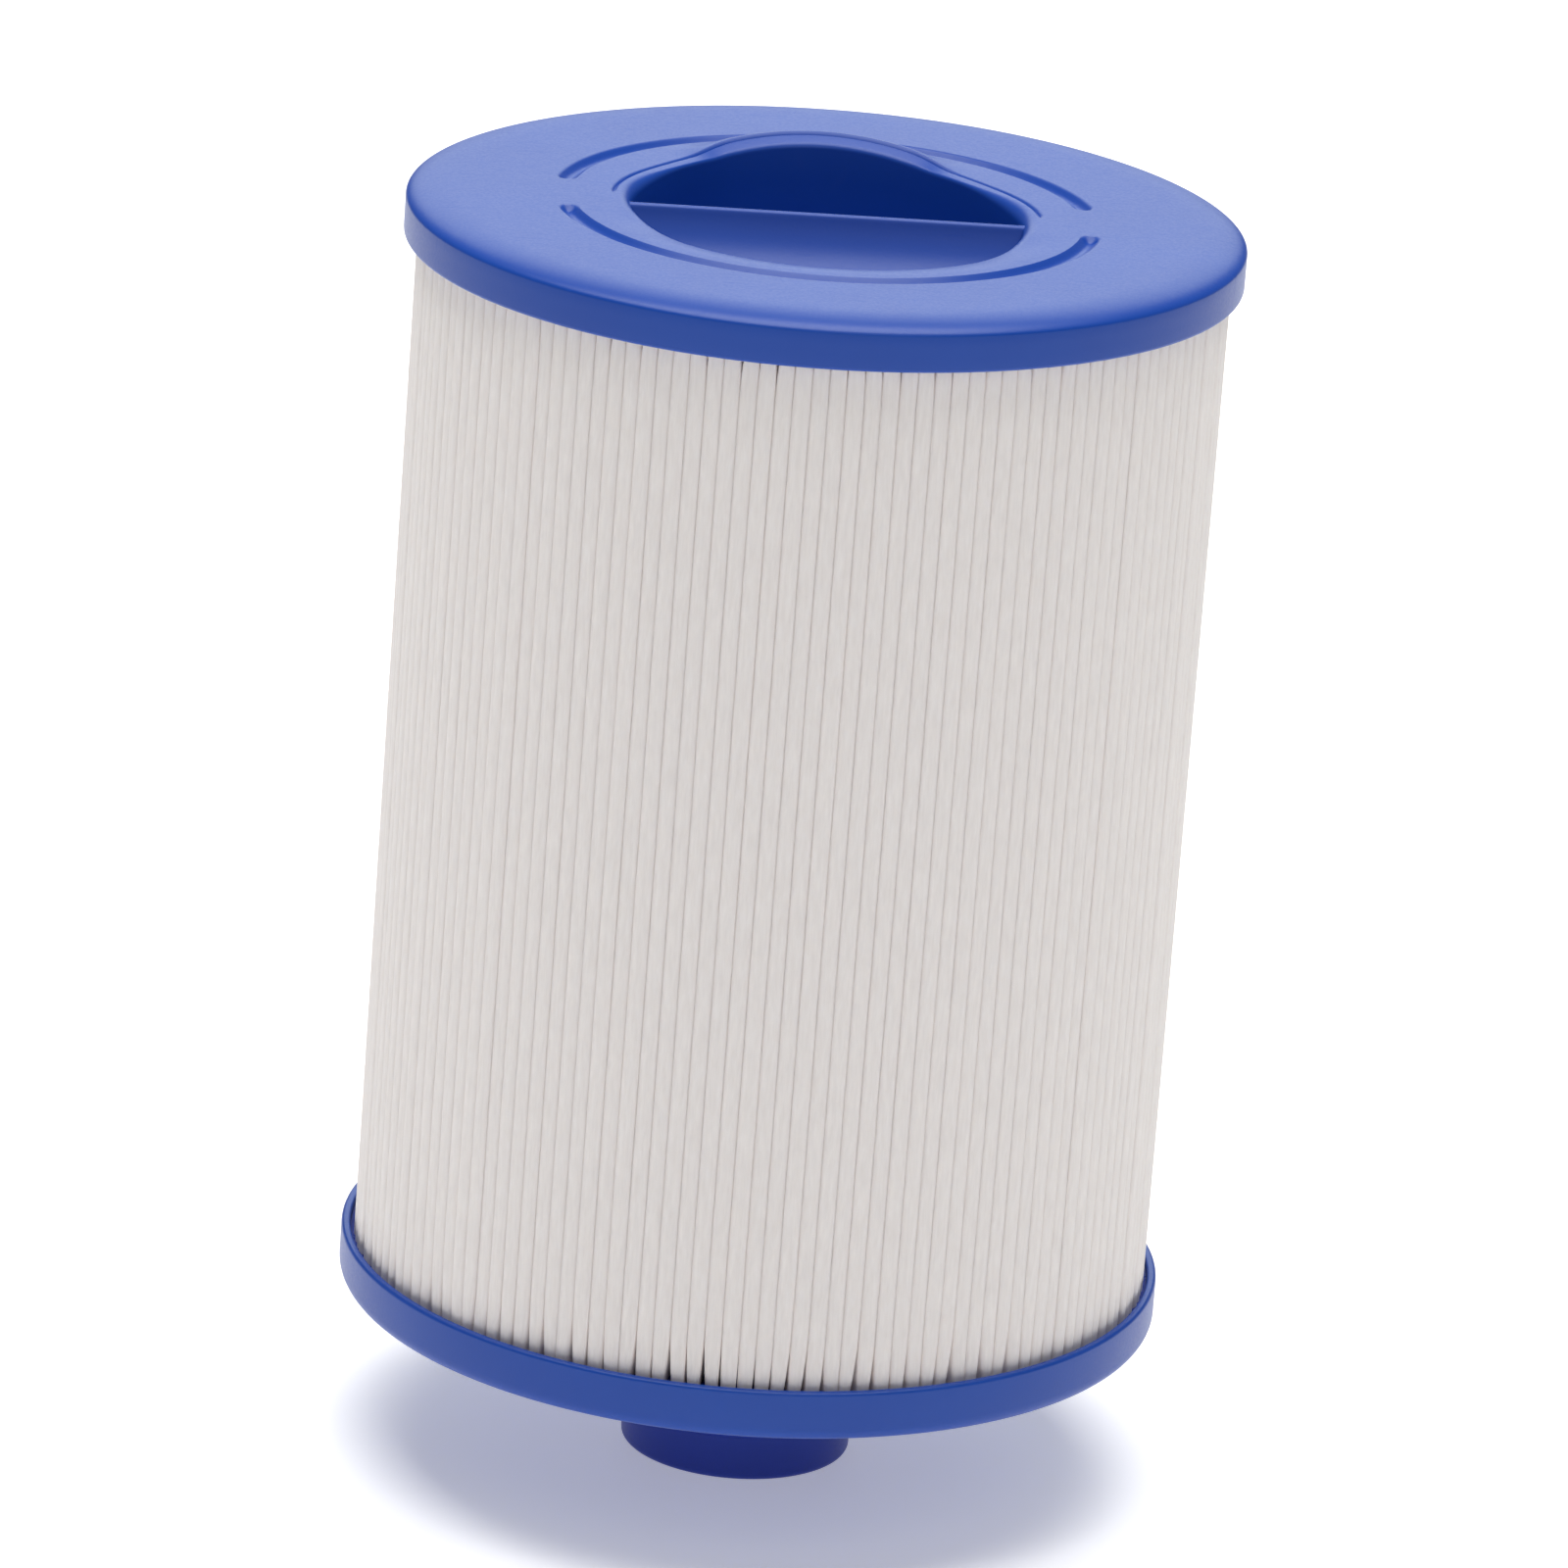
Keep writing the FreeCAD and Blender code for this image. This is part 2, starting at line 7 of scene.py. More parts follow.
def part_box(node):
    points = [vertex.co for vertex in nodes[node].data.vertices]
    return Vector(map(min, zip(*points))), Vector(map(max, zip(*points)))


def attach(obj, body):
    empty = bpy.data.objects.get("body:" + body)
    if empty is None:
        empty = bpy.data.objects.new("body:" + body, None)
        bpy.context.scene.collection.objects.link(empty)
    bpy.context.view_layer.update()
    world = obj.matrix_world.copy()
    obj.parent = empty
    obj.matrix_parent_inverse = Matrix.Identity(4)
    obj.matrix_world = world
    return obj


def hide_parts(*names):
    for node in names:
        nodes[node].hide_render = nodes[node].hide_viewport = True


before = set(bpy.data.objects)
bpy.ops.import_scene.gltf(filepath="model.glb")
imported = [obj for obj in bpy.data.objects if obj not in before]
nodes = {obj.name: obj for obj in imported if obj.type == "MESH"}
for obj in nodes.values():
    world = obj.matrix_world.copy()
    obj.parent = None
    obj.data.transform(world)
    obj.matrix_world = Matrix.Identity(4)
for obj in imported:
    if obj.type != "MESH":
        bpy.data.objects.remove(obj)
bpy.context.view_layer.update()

# ---------------------------------------------------------------- outlet nozzle
# A stiff injection-moulded ABS spigot, darker blue than the caps and bonded into the bottom cap. It has a
# flange inside the cap, a plain collar, a right-hand taper pipe thread of 11.5 turns to the inch and a
# smooth lead-in at its end. All sizes are in millimetres, and MM turns them to metres.
MM = 0.001
NOZZLE_BORE = 18.6
PILOT_R = 21.4
PILOT_TOP = 8.5
PILOT_STEP = 0.4
THREAD_ROOT = 21.9
THREAD_HEIGHT = 1.75
THREAD_RUN_OUT = 0.5
THREAD_PITCH = 25.4 / 11.5
THREAD_TAPER = 1.0 / 32.0
THREAD_LEAD = 1.6 * THREAD_PITCH
THREAD_LEAST_R = 20.5
COLLAR_R = 24.6
COLLAR_DROP = 1.6
FLANGE_R = 28.0
FLANGE_RISE = 2.2
cap_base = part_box("bottom_cap")[0].z / MM
flange_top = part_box("threaded_nozzle")[1].z / MM


def rounded(corners):
    """Outline through (radius, height, rounding) corners, each corner turned into an arc of that radius."""
    outline = []
    for i, (r, z, size) in enumerate(corners):
        if size <= 0.0:
            outline.append((r, z))
            continue
        before = corners[i - 1]
        after = corners[(i + 1) % len(corners)]
        a = math.atan2(before[1] - z, before[0] - r)
        b = math.atan2(after[1] - z, after[0] - r)
        turn = (b - a + math.pi) % (2.0 * math.pi) - math.pi
        reach = size / math.sin(abs(turn) / 2.0)
        centre = (r + reach * math.cos(a + turn / 2.0), z + reach * math.sin(a + turn / 2.0))
        start = a - math.copysign(math.pi / 2.0, turn)
        sweep = math.copysign(math.pi - abs(turn), turn)
        steps = max(3, int(abs(sweep) / math.radians(11.0)))
        for k in range(steps + 1):
            angle = start - sweep * k / steps
            outline.append((centre[0] + size * math.cos(angle), centre[1] + size * math.sin(angle)))
    return outline


def fine(outline, longest):
    """The same open outline with its long runs divided into short ones."""
    dense = [outline[0]]
    for (r0, z0), (r1, z1) in zip(outline, outline[1:]):
        count = max(1, math.ceil(math.hypot(r1 - r0, z1 - z0) / longest))
        for k in range(1, count + 1):
            dense.append((r0 + (r1 - r0) * k / count, z0 + (z1 - z0) * k / count))
    return dense


def lathe(name, outline, columns, closed=True):
    """Turned piece from an outline in mm; an open outline starts and ends on the axis."""
    mesh = bpy.data.meshes.new(name)
    bm = bmesh.new()
    rows = []
    for r, z in outline:
        if r < 1e-6:
            rows.append([bm.verts.new((0.0, 0.0, z * MM))] * columns)
            continue
        row = []
        for i in range(columns):
            angle = 2.0 * math.pi * i / columns
            row.append(bm.verts.new((r * MM * math.cos(angle), r * MM * math.sin(angle), z * MM)))
        rows.append(row)
    last = len(rows) if closed else len(rows) - 1
    for j in range(last):
        low, high = rows[j], rows[(j + 1) % len(rows)]
        for i in range(columns):
            n = (i + 1) % columns
            corners = []
            for vert in (low[i], low[n], high[n], high[i]):
                if vert not in corners:
                    corners.append(vert)
            bm.faces.new(corners)
    bmesh.ops.recalc_face_normals(bm, faces=bm.faces)
    bm.to_mesh(mesh)
    bm.free()
    return mesh


def put(tree, kind, inputs=(), **settings):
    """Add one node from its properties and inputs; an input is a value, an output or a node."""
    added = tree.nodes.new(kind)
    for key, value in settings.items():
        setattr(added, key, value)
    for key, value in dict(inputs).items():
        if isinstance(value, bpy.types.Node):
            value = value.outputs[0]
        if isinstance(value, bpy.types.NodeSocket):
            tree.links.new(value, added.inputs[key])
        else:
            added.inputs[key].default_value = value
    return added


def linear(code):
    """sRGB hex colour as linear red, green, blue and alpha."""
    channels = [int(code[i:i + 2], 16) / 255.0 for i in (1, 3, 5)]
    return [c / 12.92 if c <= 0.04045 else ((c + 0.055) / 1.055) ** 2.4 for c in channels] + [1.0]


def set_shape(mesh, sharp=32.0):
    """Smooth shading that keeps real edges crisp."""
    for face in mesh.polygons:
        face.use_smooth = True
    mesh.set_sharp_from_angle(angle=math.radians(sharp))


def place(mesh, material, name, slot, *replaced):
    """Turn a finished mesh into a piece of the object that stands for CAD nodes."""
    mesh.materials.clear()
    mesh.materials.append(material)
    piece = bpy.data.objects.new(name, mesh)
    bpy.context.scene.collection.objects.link(piece)
    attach(piece, "root")
    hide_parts(*replaced)
    return piece


def evaluated(mesh, tree, values):
    """Run a Geometry Nodes tree on a mesh with named input values and return the plain result."""
    carrier = bpy.data.objects.new("carrier", mesh)
    bpy.context.scene.collection.objects.link(carrier)
    modifier = carrier.modifiers.new("shape", "NODES")
    modifier.node_group = tree
    for item in tree.interface.items_tree:
        if item.name in values:
            modifier[item.identifier] = values[item.name]
    bpy.context.view_layer.update()
    depsgraph = bpy.context.evaluated_depsgraph_get()
    result = bpy.data.meshes.new_from_object(carrier.evaluated_get(depsgraph))
    bpy.data.objects.remove(carrier)
    return result


def shape_tree(name, inputs):
    """Empty Geometry Nodes tree with a geometry socket each way and named number inputs."""
    tree = bpy.data.node_groups.new(name, "GeometryNodeTree")
    tree.interface.new_socket("Geometry", in_out="INPUT", socket_type="NodeSocketGeometry")
    for label in inputs:
        tree.interface.new_socket(label, in_out="INPUT", socket_type="NodeSocketFloat")
    tree.interface.new_socket("Material", in_out="INPUT", socket_type="NodeSocketMaterial")
    tree.interface.new_socket("Geometry", in_out="OUTPUT", socket_type="NodeSocketGeometry")
    return tree


# Moulded plastic with a satin skin from a lightly blasted mould: a soft sheen with faint flow mottling, a
# fine grain and a few hair scratches from handling. The real grain is about 0.1 mm across; it is drawn
# five times as coarse, so that it shows.
def moulded_plastic(name, colour, dark, rough):
    """Satin moulded plastic in one colour, drifting slightly towards a darker one."""
    material = bpy.data.materials.new(name)
    material.use_nodes = True
    tree = material.node_tree
    shader = tree.nodes["Principled BSDF"]
    where = put(tree, "ShaderNodeTexCoord").outputs["Object"]
    drift = put(tree, "ShaderNodeTexNoise", {"Vector": where, "Scale": 1.0 / (28 * MM), "Detail": 3.0})
    tint = put(tree, "ShaderNodeMix", {0: drift, 6: linear(colour), 7: linear(dark)}, data_type="RGBA")
    tree.links.new(tint.outputs[2], shader.inputs["Base Color"])
    grain = put(tree, "ShaderNodeTexNoise", {"Vector": where, "Scale": 1.0 / (0.55 * MM), "Detail": 2.0})
    turned = put(tree, "ShaderNodeMapping", {
        "Vector": where, "Rotation": (0.3, 0.2, 0.9),
        "Scale": (1.0 / (9 * MM), 1.0 / (0.35 * MM), 1.0 / (9 * MM))})
    scratch = put(tree, "ShaderNodeTexNoise", {"Vector": turned, "Scale": 1.0, "Detail": 1.0})
    hair = put(tree, "ShaderNodeMapRange", {
        "Value": scratch, "From Min": 0.66, "From Max": 0.74, "To Min": 0.0, "To Max": 0.07})
    gloss = put(tree, "ShaderNodeMapRange", {
        "Value": grain, "From Min": 0.3, "From Max": 0.7, "To Min": rough - 0.03, "To Max": rough + 0.04})
    worn = put(tree, "ShaderNodeMath", {0: gloss, 1: hair}, operation="ADD")
    tree.links.new(worn.outputs[0], shader.inputs["Roughness"])
    bump = put(tree, "ShaderNodeBump", {"Height": grain, "Distance": 0.02 * MM, "Strength": 0.5})
    tree.links.new(bump.outputs[0], shader.inputs["Normal"])
    shader.inputs["IOR"].default_value = 1.53
    shader.inputs["Specular IOR Level"].default_value = 0.3
    return material


nozzle_plastic = moulded_plastic("moulded_abs_deep_blue", "#2743ac", "#223b9c", 0.4)

# Distance along the helix, folded into a saw, gives the ridge; it fades in over the first turns and stops
# short of the collar. Only points outside the least radius move, so the bore stays smooth.
thread_tree = shape_tree("pipe_thread", ["Pitch", "Height", "Low", "High", "Least radius"])
given = put(thread_tree, "NodeGroupInput").outputs
here = put(thread_tree, "GeometryNodeInputPosition")
x, y, z = put(thread_tree, "ShaderNodeSeparateXYZ", {0: here}).outputs
angle = put(thread_tree, "ShaderNodeMath", {0: y, 1: x}, operation="ARCTAN2")
turns = put(thread_tree, "ShaderNodeMath", {0: angle, 1: 2.0 * math.pi}, operation="DIVIDE")
rise = put(thread_tree, "ShaderNodeMath", {0: z, 1: given["Pitch"]}, operation="DIVIDE")
count = put(thread_tree, "ShaderNodeMath", {0: rise, 1: turns}, operation="SUBTRACT")
saw = put(thread_tree, "ShaderNodeMath", {0: count, 1: 0.5}, operation="PINGPONG")
ridge = put(thread_tree, "ShaderNodeMapRange", {"Value": saw, "From Min": 0.05, "From Max": 0.44})
lead = put(thread_tree, "ShaderNodeMath", {0: given["Low"], 1: THREAD_LEAD * MM}, operation="ADD")
fade_in = put(thread_tree, "ShaderNodeMapRange", {"Value": z, "From Min": given["Low"], "From Max": lead})
run_out = put(thread_tree, "ShaderNodeMath", {0: given["High"], 1: THREAD_RUN_OUT * MM}, operation="SUBTRACT")
fade_out = put(thread_tree, "ShaderNodeMapRange", {
    "Value": z, "From Min": given["High"], "From Max": run_out})
flat = put(thread_tree, "ShaderNodeCombineXYZ", {0: x, 1: y})
radius = put(thread_tree, "ShaderNodeVectorMath", {0: flat}, operation="LENGTH").outputs["Value"]
outside = put(thread_tree, "ShaderNodeMath", {0: radius, 1: given["Least radius"]}, operation="GREATER_THAN")
amount = ridge
for factor in (fade_in, fade_out, outside, given["Height"]):
    amount = put(thread_tree, "ShaderNodeMath", {0: amount, 1: factor}, operation="MULTIPLY")
outward = put(thread_tree, "ShaderNodeVectorMath", {0: flat}, operation="NORMALIZE")
push = put(thread_tree, "ShaderNodeVectorMath", {0: outward, "Scale": amount}, operation="SCALE")
cut = put(thread_tree, "GeometryNodeSetPosition", {"Geometry": given["Geometry"], "Offset": push})
solid = put(thread_tree, "GeometryNodeRealizeInstances", {0: cut})
coat = put(thread_tree, "GeometryNodeSetMaterial", {"Geometry": solid, "Material": given["Material"]})
put(thread_tree, "NodeGroupOutput", {0: coat})

thread_top = cap_base - COLLAR_DROP
root_top = THREAD_ROOT + (thread_top - PILOT_TOP) * THREAD_TAPER
nozzle_outline = rounded([
    (NOZZLE_BORE, 0.0, 0.6), (PILOT_R, 0.0, 1.2), (PILOT_R, PILOT_TOP, 0.0),
    (THREAD_ROOT, PILOT_TOP + PILOT_STEP, 0.0), (root_top, thread_top, 0.0), (COLLAR_R, thread_top, 0.4),
    (COLLAR_R, cap_base + FLANGE_RISE, 0.0), (FLANGE_R, cap_base + FLANGE_RISE, 0.0),
    (FLANGE_R, flange_top, 0.4), (NOZZLE_BORE, flange_top, 0.6)])
nozzle_outline = fine(nozzle_outline + nozzle_outline[:1], THREAD_PITCH / 12.0)[:-1]
thread_values = {
    "Pitch": THREAD_PITCH * MM, "Height": THREAD_HEIGHT * MM, "Low": (PILOT_TOP + PILOT_STEP) * MM,
    "High": thread_top * MM, "Least radius": THREAD_LEAST_R * MM, "Material": nozzle_plastic}
nozzle_mesh = evaluated(lathe("nozzle", nozzle_outline, 160), thread_tree, thread_values)
set_shape(nozzle_mesh, 28.0)
place(nozzle_mesh, nozzle_plastic, "outlet_nozzle", "blue_nozzle_plastic", "threaded_nozzle")

# ---------------------------------------------------------------- bottom cap
# The shallow moulded cup that the pleat ends stand in. Its rim is thin and stands a little clear of
# the pleats, and its outer corner is well rounded.
CAP_R = 76.2
WALL = 1.7
PLATE = 2.2
CORNER = 3.0
HOLE_R = COLLAR_R + 0.2
cap_plastic = moulded_plastic("moulded_abs_blue", "#1246a4", "#103f9a", 0.36)
cup_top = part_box("bottom_cap")[1].z / MM
cup_outline = rounded([
    (HOLE_R, cap_base, 0.4), (CAP_R, cap_base, CORNER), (CAP_R, cup_top, 0.7),
    (CAP_R - WALL, cup_top, 0.5), (CAP_R - WALL, cap_base + PLATE, 1.0), (HOLE_R, cap_base + PLATE, 0.0)])
cup_mesh = lathe("cup", fine(cup_outline + cup_outline[:1], 4.0)[:-1], 288)
set_shape(cup_mesh)
place(cup_mesh, cap_plastic, "bottom_cap_shell", "blue_cap_plastic", "bottom_cap")

# ---------------------------------------------------------------- cast adhesive
# Blue polyurethane poured into each cap and set round the pleat ends. It levels itself and climbs a
# little at the walls, and it holds the sheet, the core tube and the caps together.
CORE_R = 40.0
MENISCUS = 0.5
MENISCUS_RUN = 2.4
POOL_GAP = 0.05


def cast_adhesive(name, colour):
    """Adhesive cast in place and left as it set: glossier than the caps, with slow waves and small dips."""
    material = bpy.data.materials.new(name)
    material.use_nodes = True
    tree = material.node_tree
    shader = tree.nodes["Principled BSDF"]
    where = put(tree, "ShaderNodeTexCoord").outputs["Object"]
    waves = put(tree, "ShaderNodeTexNoise", {"Vector": where, "Scale": 1.0 / (7 * MM), "Detail": 4.0})
    level = put(tree, "ShaderNodeMapRange", {
        "Value": waves, "From Min": 0.3, "From Max": 0.7, "To Min": 0.85, "To Max": 1.1})
    tone = put(tree, "ShaderNodeHueSaturation", {"Color": linear(colour), "Value": level})
    tree.links.new(tone.outputs[0], shader.inputs["Base Color"])
    gloss = put(tree, "ShaderNodeMapRange", {
        "Value": waves, "From Min": 0.3, "From Max": 0.7, "To Min": 0.2, "To Max": 0.34})
    tree.links.new(gloss.outputs[0], shader.inputs["Roughness"])
    bump = put(tree, "ShaderNodeBump", {"Height": waves, "Distance": 0.15 * MM, "Strength": 0.6})
    tree.links.new(bump.outputs[0], shader.inputs["Normal"])
    shader.inputs["IOR"].default_value = 1.49
    return material


adhesive = cast_adhesive("cast_polyurethane_blue", "#2a3f96")
pool_inner = CORE_R + POOL_GAP
pool_outer = CAP_R - WALL - POOL_GAP
for node, piece_name in (("bottom_potting", "lower_adhesive"), ("top_potting", "upper_adhesive")):
    low, high = (corner.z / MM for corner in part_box(node))
    surface, base = (high, low) if node == "bottom_potting" else (low, high)
    dip = math.copysign(MENISCUS, surface - base)
    pool = [(pool_inner, base), (pool_inner, surface), (pool_inner + MENISCUS_RUN / 3.0, surface - 0.7 * dip),
            (pool_inner + MENISCUS_RUN, surface - dip), (pool_outer - MENISCUS_RUN, surface - dip),
            (pool_outer - MENISCUS_RUN / 3.0, surface - 0.7 * dip), (pool_outer, surface), (pool_outer, base)]
    pool_mesh = lathe(piece_name, pool, 192)
    set_shape(pool_mesh)
    place(pool_mesh, adhesive, piece_name, "cast_adhesive", node)

# ---------------------------------------------------------------- core tube and seam bead
# The white moulded polypropylene tube that holds the pleats open and drains them, and the hot-melt bead
# that joins the sheet's two ends. Both are hidden inside and keep their CAD shapes.
core_plastic = moulded_plastic("moulded_polypropylene_white", "#e4e6e4", "#d9dcda", 0.42)
seam_adhesive = cast_adhesive("hot_melt_adhesive_pale", "#d8d2c2")
for node, material in (("core_tube", core_plastic), ("media_seam", seam_adhesive)):
    for material_slot in nodes[node].material_slots:
        material_slot.material = material

# ---------------------------------------------------------------- pleated filter sheet
# Spun-bonded polyester, half a millimetre thick, folded into 148 deep pleats and closed to a ring.
# The crests bulge until they almost touch; near the caps they are pinched and their spacing is uneven.
PLEATS = 148
SHEET = 0.45
CREST_R = 73.9
ROOT_R = 40.6
CREST_HALF = 1.41
CREST_BULGE = 0.38
ROOT_HALF = 0.34
PLEAT_LENGTH = 68.2
SAMPLES = 16
LEVELS = 19
media_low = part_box("pleated_media")[0].z / MM
media_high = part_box("pleated_media")[1].z / MM


# Spun-bonded polyester felt: matt and slightly see-through, so light bleeds softly between the pleats.
# Its filaments are about 0.02 mm thick; their crossing streaks are drawn some twenty times as coarse, so
# that they show.
def filter_sheet(name, colour, shade):
    """Soft white felt of crossing fibres, its pattern laid along the unrolled sheet."""
    material = bpy.data.materials.new(name)
    material.use_nodes = True
    tree = material.node_tree
    shader = tree.nodes["Principled BSDF"]
    sheet = put(tree, "ShaderNodeAttribute", attribute_name="sheet").outputs["Vector"]
    felts = []
    for turn, stretch in ((0.5, 7.0), (-0.6, 6.0), (1.4, 5.0)):
        laid = put(tree, "ShaderNodeMapping", {
            "Vector": sheet, "Rotation": (0.0, 0.0, turn), "Scale": (2.6, 2.6 / stretch, 1.0)})
        felts.append(put(tree, "ShaderNodeTexNoise", {"Vector": laid, "Scale": 1.0, "Detail": 3.0}))
    pair = put(tree, "ShaderNodeMath", {0: felts[0], 1: felts[1]}, operation="MAXIMUM")
    fibres = put(tree, "ShaderNodeMath", {0: pair, 1: felts[2]}, operation="MAXIMUM")
    cloud = put(tree, "ShaderNodeTexNoise", {"Vector": sheet, "Scale": 1.0 / 6.0, "Detail": 3.0})
    mixed = put(tree, "ShaderNodeMath", {0: fibres, 1: cloud}, operation="ADD")
    tone = put(tree, "ShaderNodeMapRange", {"Value": mixed, "From Min": 0.8, "From Max": 1.35})
    tint = put(tree, "ShaderNodeMix", {0: tone, 6: linear(shade), 7: linear(colour)}, data_type="RGBA")
    tree.links.new(tint.outputs[2], shader.inputs["Base Color"])
    bump = put(tree, "ShaderNodeBump", {"Height": fibres, "Distance": 0.06 * MM, "Strength": 0.6})
    tree.links.new(bump.outputs[0], shader.inputs["Normal"])
    shader.inputs["Roughness"].default_value = 0.85
    shader.inputs["IOR"].default_value = 1.45
    shader.inputs["Sheen Weight"].default_value = 0.15
    shader.inputs["Sheen Roughness"].default_value = 0.5
    shader.inputs["Subsurface Weight"].default_value = 0.5
    shader.inputs["Subsurface Radius"].default_value = (1.0, 0.9, 0.8)
    shader.inputs["Subsurface Scale"].default_value = 2.0 * MM
    return material


polyester = filter_sheet("spunbonded_polyester_white", "#f8efeb", "#eee4e0")

# A flat grid is folded: X runs along the sheet, one unit a pleat, and Y up it. Each pleat is a round crest,
# two straight legs and a round root, and the last pleat meets the first.
pleat_tree = shape_tree("pleat_ring", [
    "Pleats", "Crest radius", "Root radius", "Crest half width", "Crest bulge", "Root half width", "Bottom",
    "Top", "End pinch", "Bunching", "Wander"])
given = put(pleat_tree, "NodeGroupInput").outputs
grid = put(pleat_tree, "GeometryNodeMeshGrid", {
    "Size X": float(PLEATS), "Size Y": 1.0, "Vertices X": PLEATS * SAMPLES + 1, "Vertices Y": LEVELS})
here = put(pleat_tree, "GeometryNodeInputPosition")
spot = put(pleat_tree, "ShaderNodeSeparateXYZ", {0: here}).outputs
along = put(pleat_tree, "ShaderNodeMath", {0: spot[0], 1: PLEATS / 2.0 + 0.5}, operation="ADD")

# Height up the sheet, with the rows crowded towards both ends.
evenly = put(pleat_tree, "ShaderNodeMath", {0: spot[1], 1: 0.5}, operation="ADD")
round_turn = put(pleat_tree, "ShaderNodeMath", {0: evenly, 1: 2.0 * math.pi}, operation="MULTIPLY")
wave = put(pleat_tree, "ShaderNodeMath", {0: round_turn}, operation="SINE")
crowding = put(pleat_tree, "ShaderNodeMath", {0: wave, 1: 0.125}, operation="MULTIPLY")
level = put(pleat_tree, "ShaderNodeMath", {0: evenly, 1: crowding}, operation="SUBTRACT")
pleat_height = put(pleat_tree, "ShaderNodeMath", {0: given["Top"], 1: given["Bottom"]}, operation="SUBTRACT")
height = put(pleat_tree, "ShaderNodeMath", {0: level, 1: pleat_height, 2: given["Bottom"]},
             operation="MULTIPLY_ADD")

# Which pleat this is, and how far from its middle: crest, then leg, then root.
number = put(pleat_tree, "ShaderNodeMath", {0: along}, operation="FLOOR")
ring_number = put(pleat_tree, "ShaderNodeMath", {0: number, 1: given["Pleats"]}, operation="MODULO")
share = put(pleat_tree, "ShaderNodeMath", {0: along}, operation="FRACT")
phase = put(pleat_tree, "ShaderNodeMath", {0: share, 1: 0.5}, operation="SUBTRACT")
side = put(pleat_tree, "ShaderNodeMath", {0: phase}, operation="SIGN")
across = put(pleat_tree, "ShaderNodeMath", {0: phase}, operation="ABSOLUTE")
crest_turn = put(pleat_tree, "ShaderNodeMapRange", {
    "Value": across, "From Min": 0.0, "From Max": 0.25, "To Min": 0.0, "To Max": math.pi / 2.0})
leg = put(pleat_tree, "ShaderNodeMapRange", {"Value": across, "From Min": 0.25, "From Max": 0.375})
root_turn = put(pleat_tree, "ShaderNodeMapRange", {
    "Value": across, "From Min": 0.375, "From Max": 0.5, "To Min": 0.0, "To Max": math.pi / 2.0})

# Crests are pinched by a chance amount near the caps, more at the bottom than at the top.
at_bottom = put(pleat_tree, "ShaderNodeMapRange", {
    "Value": level, "From Min": 0.0, "From Max": 0.085, "To Min": 1.0, "To Max": 0.0})
at_top = put(pleat_tree, "ShaderNodeMapRange", {
    "Value": level, "From Min": 1.0, "From Max": 0.94, "To Min": 0.75, "To Max": 0.0})
near_cap = put(pleat_tree, "ShaderNodeMath", {0: at_bottom, 1: at_top}, operation="MAXIMUM")
pinch = put(pleat_tree, "ShaderNodeMath", {0: near_cap, 1: near_cap}, operation="MULTIPLY")
grip = put(pleat_tree, "FunctionNodeRandomValue", {2: 0.35, 3: 1.0, "ID": ring_number, "Seed": 3},
           data_type="FLOAT").outputs[1]
own_pinch = put(pleat_tree, "ShaderNodeMath", {0: given["End pinch"], 1: grip}, operation="MULTIPLY")
pinch_here = put(pleat_tree, "ShaderNodeMath", {0: pinch, 1: own_pinch}, operation="MULTIPLY")
kept = put(pleat_tree, "ShaderNodeMath", {0: 1.0, 1: pinch_here}, operation="SUBTRACT")
half_width = put(pleat_tree, "ShaderNodeMath", {0: given["Crest half width"], 1: kept}, operation="MULTIPLY")

# Crests also wander sideways: slowly all the way up, and pleat by pleat near the caps. Roots stay put.
drift_place = put(pleat_tree, "ShaderNodeCombineXYZ", {0: ring_number, 1: level})
drift_scaled = put(pleat_tree, "ShaderNodeVectorMath", {0: drift_place, 1: (0.31, 2.2, 0.0)},
                   operation="MULTIPLY")
drift = put(pleat_tree, "ShaderNodeTexNoise", {"Vector": drift_scaled, "Scale": 1.0, "Detail": 2.0})
either_way = put(pleat_tree, "ShaderNodeMath", {0: drift, 1: 0.5}, operation="SUBTRACT")
sway = put(pleat_tree, "ShaderNodeMath", {0: either_way, 1: given["Wander"]}, operation="MULTIPLY")
push = put(pleat_tree, "FunctionNodeRandomValue", {2: -1.0, 3: 1.0, "ID": ring_number, "Seed": 11},
           data_type="FLOAT").outputs[1]
own_push = put(pleat_tree, "ShaderNodeMath", {0: push, 1: given["Bunching"]}, operation="MULTIPLY")
moved = put(pleat_tree, "ShaderNodeMath", {0: pinch, 1: own_push, 2: sway}, operation="MULTIPLY_ADD")
hold = put(pleat_tree, "ShaderNodeMath", {0: 1.0, 1: leg}, operation="SUBTRACT")
shift = put(pleat_tree, "ShaderNodeMath", {0: moved, 1: hold}, operation="MULTIPLY")

# Distance from the axis: down round the crest, along the leg and round the root.
shortfall = put(pleat_tree, "FunctionNodeRandomValue", {2: 0.0, 3: 0.35 * MM, "ID": ring_number, "Seed": 5},
                data_type="FLOAT").outputs[1]
crest_r = put(pleat_tree, "ShaderNodeMath", {0: given["Crest radius"], 1: shortfall}, operation="SUBTRACT")
leg_top = put(pleat_tree, "ShaderNodeMath", {0: crest_r, 1: given["Crest bulge"]}, operation="SUBTRACT")
leg_foot = put(pleat_tree, "ShaderNodeMath", {0: given["Root radius"], 1: given["Root half width"]},
               operation="ADD")
leg_reach = put(pleat_tree, "ShaderNodeMath", {0: leg_top, 1: leg_foot}, operation="SUBTRACT")
crest_cosine = put(pleat_tree, "ShaderNodeMath", {0: crest_turn}, operation="COSINE")
crest_bend = put(pleat_tree, "ShaderNodeMath", {0: 1.0, 1: crest_cosine}, operation="SUBTRACT")
